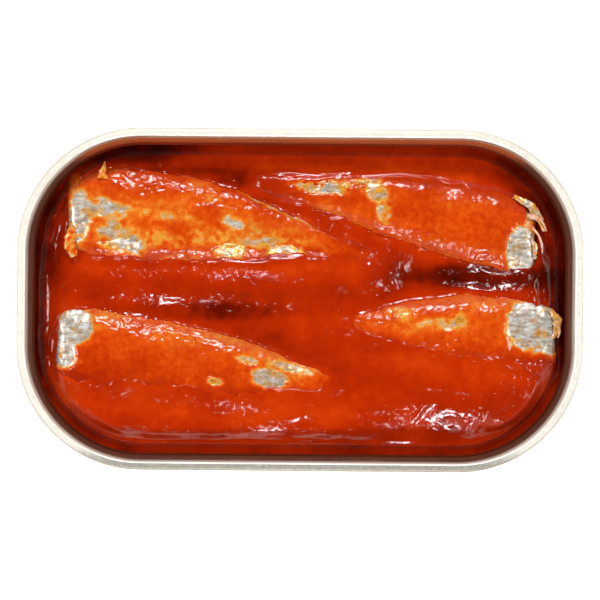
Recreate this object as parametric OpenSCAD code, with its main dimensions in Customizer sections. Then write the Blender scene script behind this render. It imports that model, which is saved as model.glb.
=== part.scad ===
// Opened sardine tin: a drawn tin with rounded corners, the ring of its torn-off lid
// still seamed to the rim, tomato sauce, and four headless sardines packed head to
// tail. Millimetres, +Z up, +X along the tin, origin at the centre of the base.

/* [Tin] */
// Length over the seam, along X
tin_l = 110; // [92:0.5:132]
// Width over the seam, along Y
tin_w = 66.5; // [56:0.5:80]
// Height from the standing ring to the top of the seam
tin_h = 25; // [21:0.5:30]
// Corner radius over the seam
corner_r = 24.2; // [21:0.1:27]
// Thickness of the drawn sheet
sheet_t = 0.3; // [0.25:0.05:0.5]
// Radius between the wall and the base
base_r = 2.4; // [1.5:0.1:3]

/* [Seam and lid ring] */
// Height of the double seam
seam_h = 3.1; // [2.6:0.1:3.6]
// How far the seam stands out from the wall
seam_out = 1.1; // [1.05:0.05:1.4]
// Depth of the lid's countersink below the seam's top
sink_d = 4.2; // [4.1:0.1:4.8]
// How far the torn edge reaches in from the seam
tear_w = 1.3; // [0.9:0.1:1.8]
// How far the lid's wall leans in from the seam to the countersink
sink_lean = 0.45; // [0.2:0.05:0.8]

/* [Base panel] */
// Width of the flat standing ring
stand_w = 2.8; // [2:0.1:4]
// Height of the raised panel above the standing ring
panel_up = 0.8; // [0.4:0.1:1.2]
// Height of the stiffening bead above the panel
bead_up = 0.5; // [0.3:0.05:0.7]
// Width of the stiffening bead
bead_w = 2; // [1.6:0.1:2.6]
// Distance from the standing ring to the bead
bead_in = 3.4; // [2.5:0.1:4.5]

/* [Sauce] */
// Depth of the sauce's surface below the seam's top
headspace = 6.6; // [5.5:0.1:8]

/* [Sardines] */
// Space between the tallest fish and the plane of the lid's panel
lid_clear = 0.1; // [0.05:0.05:0.5]
// Sauce under the fish
floor_clear = 0.4; // [0.3:0.1:1]
// Sauce beside the fish, at both side walls together
wall_sauce = 15.8; // [14:0.1:22]
// Sauce between the two rows of fish
row_sauce = 3.9; // [3:0.1:7]
// Depth of the gutted hollow in a cut end
hollow_d = 4.5; // [3:0.5:6]
// How far the cut leans, bottom edge ahead of the top edge
cut_lean = 1.8; // [0:0.1:2.5]
// Width of a tail's stump, as a share of the fish's width
tail_w = 0.22; // [0.16:0.01:0.26]
// Height of a tail's stump, as a share of the fish's height
tail_t = 0.2; // [0.16:0.01:0.26]
// How much narrower a fish is at its cut end, as a share of its width
cut_tuck = 0.12; // [0.1:0.01:0.2]
// Squareness of a fish's cross-section: 1 is an ellipse, and less is squarer
squareness = 0.72; // [0.72:0.01:1]

/* [Hidden] */

// Each sardine: [end of the tin its cut end faces, gap from the cut end to that wall,
//   reach of the tail along the tin, girth, place of the cut end, of the middle and of
//   the tail across the tin, depth of the tail below the fish's highest point]
// Reach is 0 at the wall that the cut end faces and 1 at the far wall. Girth is 1 for a
// fish that fills its row. A place is 0 at the tin's centre line and 1 at the back wall.
BACK_LEFT = [-1, 8.1, 0.636, 1.00, 0.512, 0.470, 0.260, 2.4];
BACK_RIGHT = [1, 5.2, 0.584, 0.86, 0.383, 0.570, 0.730, 2.2];
FRONT_LEFT = [-1, 5.2, 0.697, 1.00, -0.298, -0.465, -0.610, 3.6];
FRONT_RIGHT = [1, 2.8, 0.506, 0.90, -0.235, -0.190, -0.190, 3.5];

// What the numbers of a sardine are
function end_of(fish) = fish[0];
function cut_gap(fish) = fish[1];
function tail_reach(fish) = fish[2];
function girth(fish) = fish[3];
function cut_place(fish) = fish[4];
function mid_place(fish) = fish[5];
function tail_place(fish) = fish[6];
function tail_drop(fish) = fish[7];

// Radii are measured from a corner's axis
wall_r = corner_r - seam_out;
inner_r = wall_r - sheet_t;
seam_r = inner_r - sheet_t;
panel_r = wall_r - base_r - stand_w;
floor_z = panel_up + sheet_t;
sauce_z = tin_h - headspace;
sink_z = tin_h - sink_d;
straight_l = tin_l - 2 * corner_r;
straight_w = tin_w - 2 * corner_r;
inner_l = straight_l + 2 * inner_r;
inner_w = straight_w + 2 * inner_r;

// The body's hook inside the seam: its top, its lower edge and its outer face
hook_z = tin_h - 2 * sheet_t;
hook_low = tin_h - seam_h + 2 * sheet_t;
hook_r = corner_r - sheet_t;

// Highest and lowest level of a fish, and the width that a fish of girth 1 has
fish_top = sink_z - lid_clear;
fish_low = floor_z + bead_up + floor_clear;
fish_h = fish_top - fish_low;
fish_w = (inner_w - wall_sauce - row_sauce) / 2;

RING = 24;       // points round a fish
STATIONS = 15;   // rings along a fish
ARC = 5;         // steps in a quarter round
NAPE_DROP = 0.5; // how far a fish's back falls towards its cut end

// Points of an arc about a centre, from one angle to another
function arc(centre, r, from, to) = [
    for (i = [0 : ARC]) let (a = from + (to - from) * i / ARC)
        centre + r * [cos(a), sin(a)]
];

// One side of the base: standing ring, step up, panel and bead, lifted by a sheet.
// It runs from the standing ring's inner edge to the corner's axis.
function base_line(lift) = let (bead_r = panel_r - bead_in) [
    [panel_r, lift],
    [panel_r - panel_up, panel_up + lift],
    [bead_r, panel_up + lift],
    [bead_r - bead_up, panel_up + bead_up + lift],
    [bead_r - bead_w + bead_up, panel_up + bead_up + lift],
    [bead_r - bead_w, panel_up + lift],
    [0, panel_up + lift]
];

// The wall's inner side, from a height down into the base
function inner_line(from_z) = concat(
    [[inner_r, from_z]],
    arc([wall_r - base_r, base_r], base_r - sheet_t, 0, -90),
    base_line(sheet_t)
);

function reversed(points) = [for (i = [len(points) - 1 : -1 : 0]) points[i]];

// Cross-section of the drawn body, from a corner's axis out to the hook in the seam
module body_section() {
    polygon(concat(
        reversed(base_line(0)),
        arc([wall_r - base_r, base_r], base_r, -90, 0),
        [
            [wall_r, hook_z - sheet_t],
            [hook_r - sheet_t, hook_z - sheet_t],
            [hook_r - sheet_t, hook_low],
            [hook_r, hook_low],
            [hook_r, hook_z]
        ],
        inner_line(hook_z)
    ));
}

// Cross-section of what is left of the lid: a cover rolled round the body's hook, the
// lid's own wall inside the body's wall, and the lip where the panel tore away
module ring_section() {
    hem_r = 0.3;      // round under the cover's lower edge
    cover_r = 0.7;    // round of the seam's outer shoulder
    shoulder_r = 0.4; // round of the seam's inner shoulder
    bend = 0.4;       // corner between the lid's wall and its panel
    torn_r = seam_r - tear_w;
    sink_r = seam_r - sink_lean;
    polygon(concat(
        [[wall_r, hook_z - sheet_t], [wall_r, tin_h - seam_h]],
        arc([corner_r - hem_r, tin_h - seam_h + hem_r], hem_r, -90, 0),
        arc([corner_r - cover_r, tin_h - cover_r], cover_r, 0, 90),
        arc([seam_r + shoulder_r, tin_h - shoulder_r], shoulder_r, 90, 180),
        [
            [seam_r, tin_h - seam_h],
            [sink_r, sink_z + bend],
            [sink_r - bend, sink_z],
            [torn_r, sink_z],
            [torn_r, sink_z - sheet_t],
            [sink_r, sink_z - sheet_t],
            [sink_r + sheet_t, sink_z],
            [inner_r, tin_h - seam_h],
            [inner_r, hook_z],
            [hook_r, hook_z],
            [hook_r, hook_low],
            [hook_r - sheet_t, hook_low],
            [hook_r - sheet_t, hook_z - sheet_t]
        ]
    ));
}

// Carries a cross-section round the tin's rounded outline
module round_the_tin() {
    for (x = [-1, 1], y = [-1, 1])
        translate([x * straight_l / 2, y * straight_w / 2, 0])
            rotate([0, 0, x > 0 ? (y > 0 ? 0 : -90) : (y > 0 ? 90 : 180)])
                rotate_extrude(angle = 90, $fn = 96) children();
    for (side = [-1, 1]) {
        translate([side * straight_l / 2, side * straight_w / 2, 0])
            rotate([90, 0, side > 0 ? 0 : 180])
                linear_extrude(straight_w) children();
        translate([-side * straight_l / 2, side * straight_w / 2, 0])
            rotate([90, 0, side > 0 ? 90 : -90])
                linear_extrude(straight_l) children();
    }
}

// Fills the rectangle between the corners' axes
module middle(low_z, high_z) {
    translate([-straight_l / 2, -straight_w / 2, low_z])
        cube([straight_l, straight_w, high_z - low_z]);
}

module tin_body() {
    color("#b9b7ae") {
        round_the_tin() body_section();
        middle(panel_up, floor_z);
    }
}

module lid_ring() {
    color("#e9e3d2") round_the_tin() ring_section();
}

// Smooth step from 0 at a to 1 at b
function ease(a, b, t) = let (s = min(1, max(0, (t - a) / (b - a)))) s * s * (3 - 2 * s);

// Share of its full size that a fish has along its length: a little less at the cut
// end, full for the first third, then a taper to the stump of the tail
function taper(t, stump) = 1 - (1 - stump) * ease(0.22, 1.02, t)
    - cut_tuck * (1 - ease(-0.02, 0.14, t));

// Curve through three values, at the cut end (t = 0), the middle and the tail (t = 1)
function through(a, b, c, t) = a * (1 - t) * (1 - 2 * t) + b * 4 * t * (1 - t) + c * t * (2 * t - 1);

// Centre line, back and girth of a sardine along its length
function axis_x(fish, t) = end_of(fish) * (
    inner_l / 2 - cut_gap(fish) - t * (inner_l * tail_reach(fish) - cut_gap(fish)));
function axis_y(fish, t) = inner_w / 2 * through(cut_place(fish), mid_place(fish), tail_place(fish), t);
function back_z(fish, t) = fish_top - tail_drop(fish) * ease(0.45, 1.1, t)
    - NAPE_DROP * (1 - ease(0, 0.2, t));
function width_at(fish, t) = fish_w * girth(fish) * taper(t, tail_w);
function height_at(fish, t) = fish_h * taper(t, tail_t);

// A point on a squarish oval, as fish take when they are pressed into a tin
function oval(a, w, h) = [
    w / 2 * sign(cos(a)) * pow(abs(cos(a)), squareness),
    h / 2 * sign(sin(a)) * pow(abs(sin(a)), squareness)
];

// One ring round a sardine. Size is the ring's share of the body there, inset moves
// it into the fish, and drop lowers it towards the belly.
function ring(fish, t, size, inset, drop) = [
    for (i = [0 : RING - 1]) let (
        p = oval(360 * i / RING, width_at(fish, t), height_at(fish, t)) * size,
        lean = cut_lean * p[1] / fish_h * 2 * (1 - ease(0, 0.3, t))
    ) [
        axis_x(fish, t) - end_of(fish) * (lean + inset),
        axis_y(fish, t) - end_of(fish) * p[0],
        back_z(fish, t) - height_at(fish, t) / 2 + p[1] - drop
    ]
];

// A sardine as rings: floor and mouth of the gutted hollow, rounded rim of the cut,
// the body, and the rounded stump of the tail
function sardine_rings(fish) = concat(
    [
        ring(fish, 0, 0.22, hollow_d, 1.6),
        ring(fish, 0, 0.36, hollow_d * 0.6, 1.6),
        ring(fish, 0, 0.46, 0.5, 1.4),
        ring(fish, 0, 0.90, -0.2, 0)
    ],
    [for (k = [0 : STATIONS - 1]) let (s = k / (STATIONS - 1)) ring(fish, 0.015 + 0.97 * s, 1, 0, 0)],
    [ring(fish, 1, 0.62, 0, 0)]
);

module sardine_solid(fish) {
    rings = sardine_rings(fish);
    last = len(rings) - 1;
    sides = [
        for (k = [0 : last - 1], i = [0 : RING - 1]) let (
            a = k * RING + i,
            b = k * RING + (i + 1) % RING,
            c = b + RING,
            d = a + RING
        ) each [[a, c, b], [a, d, c]]
    ];
    caps = [
        [for (i = [0 : RING - 1]) i],
        [for (i = [RING - 1 : -1 : 0]) last * RING + i]
    ];
    polyhedron(points = [for (r = rings) each r], faces = concat(sides, caps), convexity = 4);
}

module sardine(fish) {
    color("#c9803a") sardine_solid(fish);
}

// The sauce fills the tin up to its level, round the fish
module sauce() {
    color("#b02a08") difference() {
        union() {
            round_the_tin() polygon(concat([[0, sauce_z]], inner_line(sauce_z)));
            middle(floor_z, sauce_z);
        }
        for (fish = [BACK_LEFT, BACK_RIGHT, FRONT_LEFT, FRONT_RIGHT]) sardine_solid(fish);
    }
}

tin_body();
lid_ring();
sauce();
sardine(BACK_LEFT);  // sardine_back_left
sardine(BACK_RIGHT);  // sardine_back_right
sardine(FRONT_LEFT);  // sardine_front_left
sardine(FRONT_RIGHT);  // sardine_front_right
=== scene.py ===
# %% [markdown]
# # An opened tin of sardines in tomato sauce
# The lesson builds the looks of one tin round its CAD frame. The tin's body and the
# ring of its lid keep their CAD shape and get a metal finish. The sauce and the four
# fish are modelled here, because their charm is in small things: a swell against the
# wall, a torn skin, a film of sauce that thins out to silver.

# %% Load the frame
import math
import bpy
import numpy as np
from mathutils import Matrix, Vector
from mathutils.bvhtree import BVHTree


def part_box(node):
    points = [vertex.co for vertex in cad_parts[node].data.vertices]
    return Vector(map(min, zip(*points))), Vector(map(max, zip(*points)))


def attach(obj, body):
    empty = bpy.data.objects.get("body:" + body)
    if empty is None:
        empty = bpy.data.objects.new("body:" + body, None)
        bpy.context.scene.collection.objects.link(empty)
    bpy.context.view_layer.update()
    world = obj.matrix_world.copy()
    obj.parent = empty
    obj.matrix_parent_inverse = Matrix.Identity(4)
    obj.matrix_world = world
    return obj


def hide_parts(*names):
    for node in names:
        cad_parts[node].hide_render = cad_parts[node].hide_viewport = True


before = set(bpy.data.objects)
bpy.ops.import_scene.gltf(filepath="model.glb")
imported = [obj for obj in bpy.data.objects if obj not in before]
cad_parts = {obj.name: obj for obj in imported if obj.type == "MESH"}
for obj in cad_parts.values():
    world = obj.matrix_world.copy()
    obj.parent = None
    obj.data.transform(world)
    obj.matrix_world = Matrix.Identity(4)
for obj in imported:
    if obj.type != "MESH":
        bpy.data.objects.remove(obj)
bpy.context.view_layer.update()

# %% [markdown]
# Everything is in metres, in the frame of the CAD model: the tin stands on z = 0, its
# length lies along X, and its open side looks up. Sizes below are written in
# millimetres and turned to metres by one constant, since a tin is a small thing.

MM = 0.001
ROOT = "root"
SARDINES = ["sardine_back_left", "sardine_back_right", "sardine_front_left", "sardine_front_right"]

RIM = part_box("lid_ring")
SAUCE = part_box("sauce")
LEVEL = SAUCE[1].z
INNER_HALF = Vector((SAUCE[1].x, SAUCE[1].y))
INNER_CORNER = 22.8 * MM
OUTER_CORNER = 24.2 * MM
print("sauce level", round(LEVEL / MM, 2), "mm, inside", [round(2 * v / MM, 1) for v in INNER_HALF])

# %% [markdown]
# A few small tools serve every finish. One turns a colour that is written as sRGB hex
# into the linear numbers that shaders use, one gives a colour ramp its stops, and one
# adds a shader node with its settings and its links.

# %% Colour and shader-node helpers
def linear(hex_colour):
    """sRGB hex, such as "c8501e", to a linear RGBA tuple."""
    parts = [int(hex_colour[i:i + 2], 16) / 255 for i in (0, 2, 4)]
    return tuple(c / 12.92 if c <= 0.04045 else ((c + 0.055) / 1.055) ** 2.4 for c in parts) + (1.0,)


def set_stops(node, stops):
    """Gives a colour ramp its stops, each a (place, hex colour)."""
    elements = node.color_ramp.elements
    while len(elements) < len(stops):
        elements.new(0.5)
    for element, (place, colour) in zip(elements, stops):
        element.position = place
        element.color = linear(colour)


def add(tree, kind, settings=None, inputs=None):
    """Adds a shader node. Inputs are values, or sockets of other nodes to link."""
    node = tree.nodes.new("ShaderNode" + kind)
    for name, value in (settings or {}).items():
        if name == "stops":
            set_stops(node, value)
        else:
            setattr(node, name, value)
    for name, value in (inputs or {}).items():
        if isinstance(value, bpy.types.NodeSocket):
            tree.links.new(value, node.inputs[name])
        else:
            node.inputs[name].default_value = value
    return node


def new_material(name):
    """An empty node material with its output, and the tree to build it in."""
    material = bpy.data.materials.new(name)
    material.use_nodes = True
    tree = material.node_tree
    tree.nodes.clear()
    return material, tree


# %% [markdown]
# Skin and sauce are uneven at every size from a centimetre down to a grain of tomato.
# One smooth random field, summed over several sizes, gives all of that relief. It mixes
# slopes that belong to the corners of a cubic lattice, so a point always gets the same
# value, and it starts from a fixed seed, so the same tin comes out on every run.

# %% Relief helper
DICE = np.random.RandomState(7)
SLOPES = DICE.normal(size=(256, 3))
SLOPES /= np.linalg.norm(SLOPES, axis=1)[:, None]
SHUFFLE = DICE.permutation(256)


def relief(points, grain, octaves=1, shift=0.0):
    """Smooth noise from about -1 to 1 at each point. Grain is the size of its bumps."""
    total = np.zeros(len(points))
    for octave in range(octaves):
        place = points / grain * 2.0 ** octave + shift + 31.7 * octave
        cell = np.floor(place).astype(int)
        part = place - cell
        blend = part ** 3 * (part * (part * 6 - 15) + 10)
        value = np.zeros(len(points))
        for corner in np.ndindex(2, 2, 2):
            at = cell + corner
            dice = SHUFFLE[(SHUFFLE[(SHUFFLE[at[:, 0] % 256] + at[:, 1]) % 256] + at[:, 2]) % 256]
            weight = np.prod(np.where(corner, blend, 1 - blend), axis=1)
            value += weight * np.einsum("ij,ij->i", SLOPES[dice], part - corner)
        total += 1.6 * value * 0.5 ** octave
    return total


def ease(low, high, value):
    """Smooth step from 0 at low to 1 at high."""
    share = np.clip((value - low) / (high - low), 0, 1)
    return share * share * (3 - 2 * share)


# %% [markdown]
# Blender's operators act on whatever is selected, and a freshly loaded frame leaves
# all its nodes selected. So each step starts by clearing the selection and picking
# its own object. Points go in and out of a mesh as one array, because a fish has tens
# of thousands of them.

# %% Object and mesh helpers
def pick(*objects):
    """Selects only these objects and makes the first one active."""
    if bpy.context.object and bpy.context.object.mode != "OBJECT":
        bpy.ops.object.mode_set(mode="OBJECT")
    bpy.ops.object.select_all(action="DESELECT")
    for piece in objects:
        piece.select_set(True)
    bpy.context.view_layer.objects.active = objects[0]


def edit(piece, select_all=True):
    """Opens a piece in edit mode."""
    pick(piece)
    bpy.ops.object.mode_set(mode="EDIT")
    bpy.ops.mesh.select_all(action="SELECT" if select_all else "DESELECT")


def close_edit():
    bpy.ops.object.mode_set(mode="OBJECT")


def get_points(piece):
    points = np.empty(len(piece.data.vertices) * 3)
    piece.data.vertices.foreach_get("co", points)
    return points.reshape(-1, 3)


def set_points(piece, points):
    piece.data.vertices.foreach_set("co", np.ascontiguousarray(points).ravel())
    piece.data.update()


def get_normals(piece):
    normals = np.empty(len(piece.data.vertices) * 3)
    piece.data.vertices.foreach_get("normal", normals)
    return normals.reshape(-1, 3)


def paint(piece, name, values):
    """Stores one number per point, for a material to read."""
    attribute = piece.data.attributes.get(name) or piece.data.attributes.new(name, "FLOAT", "POINT")
    attribute.data.foreach_set("value", np.ascontiguousarray(values, dtype=np.float32))


def apply_modifier(piece, kind, **settings):
    pick(piece)
    modifier = piece.modifiers.new(kind.title(), kind)
    for name, value in settings.items():
        setattr(modifier, name, value)
    bpy.ops.object.modifier_apply(modifier=modifier.name)


def merged_copy(node, name):
    """A copy of a CAD node as one connected mesh of four-sided faces."""
    piece = bpy.data.objects.new(name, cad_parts[node].data.copy())
    bpy.context.scene.collection.objects.link(piece)
    piece.data.materials.clear()
    edit(piece)
    bpy.ops.mesh.remove_doubles(threshold=0.001 * MM)
    bpy.ops.mesh.tris_convert_to_quads(face_threshold=math.pi, shape_threshold=math.pi)
    close_edit()
    return piece


# %% [markdown]
# ## The sardines
# Each fish lies on its side with its head and tail cut off. A fish could start from a
# stretched sphere, but its CAD solid already has the right girth, bend and hollow, so
# a merged copy of that is smoothed by subdivision, and only its upper half, the half
# that is seen, is divided once more.

# %% Smooth the four fish
def smooth_fish(node):
    piece = merged_copy(node, node + "_flesh")
    apply_modifier(piece, "SUBSURF", levels=3, render_levels=3)
    edit(piece, select_all=False)
    close_edit()
    normals = np.empty(len(piece.data.polygons) * 3)
    piece.data.polygons.foreach_get("normal", normals)
    piece.data.polygons.foreach_set("select", normals.reshape(-1, 3)[:, 2] > 0.05)
    pick(piece)
    bpy.ops.object.mode_set(mode="EDIT")
    bpy.ops.mesh.subdivide(number_cuts=1, smoothness=0.0)
    close_edit()
    return piece


fish = {node: smooth_fish(node) for node in SARDINES}
for node, piece in fish.items():
    print(node, len(piece.data.vertices), "points")

# %% [markdown]
# A place on a fish is given as on a map: u runs from the cut end (0) to the tail (1),
# and v runs across the back, from -1 at the front of the tin to 1 at its back. The map
# is measured from each fish's own shape.

# %% Map of a fish
STEPS = 60
PLACES = (np.arange(STEPS) + 0.5) / STEPS
# Which side of each fish the sauce has drowned: -1 the front, 1 the back, and how much
DROWNED = {"sardine_back_left": (-1, 0.35), "sardine_back_right": (1, 0.45),
           "sardine_front_left": (-1, 1.0), "sardine_front_right": (-1, 1.0)}


def along(node, points):
    low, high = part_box(node)
    start, end = (low.x, high.x) if low.x + high.x < 0 else (high.x, low.x)
    return (points[:, 0] - start) / (end - start)


def measure(node):
    """Middle line and half width of a fish at every step of its length."""
    points = get_points(fish[node])
    step = np.clip((along(node, points) * STEPS).astype(int), 0, STEPS - 1)
    back = np.array([points[step == k, 1].max() for k in range(STEPS)])
    front = np.array([points[step == k, 1].min() for k in range(STEPS)])
    return (back + front) / 2, (back - front) / 2


MAPS = {node: measure(node) for node in SARDINES}


def fish_map(node, points):
    """u and v of each point, and the half width of the fish there."""
    u = along(node, points)
    middle, half = (np.interp(u, PLACES, line) for line in MAPS[node])
    return u, (points[:, 1] - middle) / half, half


def drowned(node, u, v):
    """1 where the sauce laps over the fish, 0 where its edge is crisp."""
    side, amount = DROWNED[node]
    return np.maximum(amount * ease(0.0, 0.5, side * v), 0.8 * ease(0.78, 0.96, u))


# %% [markdown]
# The skin shows where the film of sauce is thin. So the film comes first, as a
# thickness in millimetres: a broad cover that is thick along one side of the fish, less
# its bald patches, plus a slow random part that frays the edges. The film then lifts
# the surface, and bare skin gets fine wrinkles across it. The material reads the same
# thickness, so colour and shape agree.

# %% Where the film of sauce is thin
# For each fish: film thickness in mm at its front, middle and back (v = -1, 0, 1), and
# how ragged it is
COVER = {
    "sardine_back_left": ((0.60, 0.50, 0.92), 0.34),
    "sardine_back_right": ((0.55, 0.85, 0.46), 0.22),
    "sardine_front_left": ((1.55, 0.84, 0.42), 0.22),
    "sardine_front_right": ((1.40, 0.66, 0.60), 0.22),
}
# Bald patches: u, v, half length and half width in mm, and how bare (mm of film lost)
BALD = {
    "sardine_back_left": [
        (0.082, -0.05, 1.7, 4.6, 0.72), (0.137, 0.18, 2.0, 2.0, 0.50), (0.17, 0.08, 2.6, 1.6, 0.35),
        (0.165, -0.33, 2.4, 2.6, 0.55), (0.225, -0.55, 2.8, 1.9, 0.6), (0.34, 0.00, 1.5, 1.1, 0.35),
        (0.545, 0.05, 2.2, 1.2, 0.55), (0.54, -0.68, 2.9, 1.3, 0.75), (0.72, -0.72, 3.4, 1.4, 1.1),
        (0.66, 0.86, 5.0, 0.9, 0.55), (0.80, 0.80, 4.0, 0.8, 0.5), (0.62, -0.42, 2.2, 0.9, 0.35),
        (0.40, -0.72, 3.0, 0.8, 0.4), (0.07, -0.62, 2.0, 1.6, 0.4), (0.66, -0.35, 1.6, 0.8, 0.4),
    ],
    "sardine_back_right": [
        (0.102, -0.42, 2.6, 4.4, 1.9), (0.07, 0.35, 0.9, 4.5, 0.8), (0.35, -0.93, 8.5, 0.9, 0.75),
        (0.595, 0.36, 1.8, 1.6, 0.7), (0.57, -0.22, 1.4, 1.8, 0.6), (0.62, 0.76, 2.4, 1.0, 0.6),
        (0.78, 0.30, 4.6, 1.2, 0.8), (0.72, 0.62, 3.4, 1.0, 0.5), (0.86, 0.10, 2.4, 0.9, 0.5),
    ],
    "sardine_front_left": [
        (0.085, 0.47, 2.9, 3.2, 1.9), (0.060, -0.10, 2.2, 2.8, 1.9), (0.62, 0.02, 3.2, 1.7, 1.5),
        (0.47, -0.18, 1.6, 0.8, 0.7), (0.30, 0.97, 12.0, 1.0, 0.35), (0.68, 0.50, 3.6, 0.8, 0.5),
        (0.56, 0.42, 2.4, 0.7, 0.4),
    ],
    "sardine_front_right": [
        (0.13, 0.22, 4.1, 4.2, 1.9), (0.06, -0.20, 1.5, 2.4, 1.2), (0.476, 0.2, 4.6, 1.2, 0.40),
        (0.62, 0.60, 2.4, 0.9, 0.3),
    ],
}
# Oily gold spots: u, v, radius in mm
GOLD = {
    "sardine_back_left": [
        (0.03, 0.05, 1.4), (0.11, 0.02, 1.4), (0.20, -0.22, 2.0), (0.31, -0.36, 2.2), (0.37, -0.46, 1.8),
        (0.43, -0.34, 1.6), (0.51, -0.42, 2.4), (0.56, -0.52, 1.8), (0.66, -0.58, 2.6), (0.76, -0.42, 1.8),
        (0.15, -0.62, 1.8), (0.24, -0.80, 1.6), (0.34, -0.78, 1.4), (0.70, -0.20, 1.6),
    ],
    "sardine_back_right": [
        (0.595, 0.50, 2.2), (0.57, 0.05, 1.8), (0.64, 0.60, 2.0), (0.70, 0.35, 1.6), (0.82, 0.30, 1.4),
        (0.05, 0.50, 1.4), (0.60, 0.20, 1.5),
    ],
    "sardine_front_left": [
        (0.56, 0.22, 2.2), (0.64, 0.40, 2.4), (0.69, 0.12, 2.2), (0.62, -0.28, 1.8), (0.05, -0.42, 1.2),
        (0.10, -0.16, 1.0), (0.47, -0.20, 1.5), (0.40, -0.30, 1.4), (0.54, -0.10, 1.4), (0.12, -0.40, 1.0),
    ],
    "sardine_front_right": [(0.105, 0.10, 1.1), (0.40, 0.30, 1.6), (0.60, 0.40, 1.4)],
}


def spot(u, v, half, length, centre_u, centre_v, half_length, half_width):
    """1 at a spot's centre and 0 past its rim, with the rim about as long as the spot."""
    along = (u - centre_u) * length / (half_length * MM)
    across = (v - centre_v) * half / (half_width * MM)
    return ease(0.0, 1.0, 1.55 - np.hypot(along, across))


def film_on(node, points):
    """Film thickness in mm and gold tint for each point of a fish."""
    u, v, half = fish_map(node, points)
    low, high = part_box(node)
    length = high.x - low.x
    levels, ragged = COVER[node]
    stretched = points * (0.6, 1.0, 1.0)
    film = np.interp(v, (-1, 0, 1), levels)
    film += ragged * (0.8 * relief(stretched, 4.2 * MM, 3) + 0.35 * relief(points, 1.3 * MM, 2, 9.1))
    film += 0.9 * drowned(node, u, v) * (1 - ease(0.7 * MM, 2.1 * MM, points[:, 2] - LEVEL))
    fray = 0.75 * relief(points * (0.7, 1.0, 1.0), 1.3 * MM, 3, 4.4)
    for centre_u, centre_v, half_length, half_width, bare in BALD[node]:
        film -= bare * np.clip(
            spot(u, v, half, length, centre_u, centre_v, half_length, half_width) * (1 + fray), 0, 1.2)
    gold = np.zeros(len(points))
    for centre_u, centre_v, radius in GOLD[node]:
        gold = np.maximum(gold, spot(u, v, half, length, centre_u, centre_v, radius, radius * 0.8))
    gold *= np.clip(0.70 + 1.1 * relief(points, 1.1 * MM, 2, 2.2), 0, 1)
    film -= 0.30 * gold
    return np.clip(film, -0.4, 1.6), gold, u, v


# %% [markdown]
# The sauce is thick enough to stand on the fish: a covered place lies a little higher
# than bare skin, which is wrinkled, and bits of tomato and skin make small lumps. These
# are true moves of the surface, so they catch the light from every side.

# %% Lift the surface by the film and wrinkle the bare skin
FILM_HEIGHT = 0.4 * MM   # how high a full film of sauce stands on the skin
WRINKLE = 0.07 * MM
PULP = 0.045 * MM
LUMP = 0.30 * MM
SPECK = 0.13 * MM
# Bands of coarse pulp: x, y, half length and half width in mm, and turn in degrees
SPECKS = [
    (-20, 19, 20, 2.6, -16), (28, 10.8, 17, 1.8, -16), (-26, -7.5, 16, 2.4, -22), (-10, -13, 6, 1.5, -35),
    (18, -8, 20, 7, -8), (12, 6, 8, 5, 0), (44, -12, 6, 5, -40), (34, -24, 12, 4, 20), (-30, 1, 12, 1.6, 0),
    (0, -2, 14, 3, 0), (-15, 27, 20, 1.5, 0), (-34, -17, 8, 2, 0),
]
# How far the knife's cut leans out over the sauce at the top of each fish, in mm
LEAN_OUT = {"sardine_back_left": -1.9, "sardine_back_right": -0.9,
            "sardine_front_left": -1.1, "sardine_front_right": 1.1}


def speckled(points):
    """1 inside a band of coarse pulp, 0 outside."""
    inside = np.zeros(len(points))
    for x, y, half_length, half_width, turn in SPECKS:
        c, s = math.cos(math.radians(turn)), math.sin(math.radians(turn))
        dx, dy = points[:, 0] / MM - x, points[:, 1] / MM - y
        gap = np.hypot((c * dx + s * dy) / half_length, (c * dy - s * dx) / half_width)
        inside = np.maximum(inside, ease(0, 1, 1.5 - gap))
    return inside


for node, piece in fish.items():
    points, normals = get_points(piece), get_normals(piece)
    film, gold, u, v = film_on(node, points)
    bare = 1 - ease(0.0, 0.25, film)
    height = FILM_HEIGHT * np.clip(film, 0, 1)
    height += LUMP * relief(points, 7.0 * MM, 2, 1.5)
    height += WRINKLE * bare * relief(points * (1.0, 0.55, 1.0), 1.1 * MM, 2, 6.3)
    height += PULP * (1 - bare) * relief(points, 0.9 * MM, 2, 8.8)
    facing_up = ease(-0.2, 0.4, normals[:, 2])
    height += SPECK * speckled(points) * relief(points, 0.95 * MM, 2, 0.6)
    points += normals * (height * facing_up)[:, None]
    raised = ease(13 * MM, LEVEL, points[:, 2])
    if node == "sardine_back_left":
        points[:, 1] += 1.3 * MM * raised * ease(0.42, 0.0, u) * ease(0.35, 0.95, v)
        points[:, 1] += 0.5 * MM * raised * ease(0.4, 0.95, v) * relief(points * (1, 0, 0), 6 * MM, 1, 3.1)
    points[:, 0] += LEAN_OUT[node] * MM * raised * ease(0.22, 0.02, u)
    set_points(piece, points)
    paint(piece, "film", film)
    paint(piece, "gold", gold)
    print(node, "film", round(float(film.min()), 2), "to", round(float(film.max()), 2), "mm")

# %% [markdown]
# ## Torn skin, bone and strands
# A knife leaves the cut ends ragged: shreds of skin curl off, a piece of backbone sticks
# out, and threads of skin trail in the sauce. A shred could be cut from a flat sheet.
# Here it is a narrow grid laid along a route, with torn edges, then given thickness.

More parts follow.
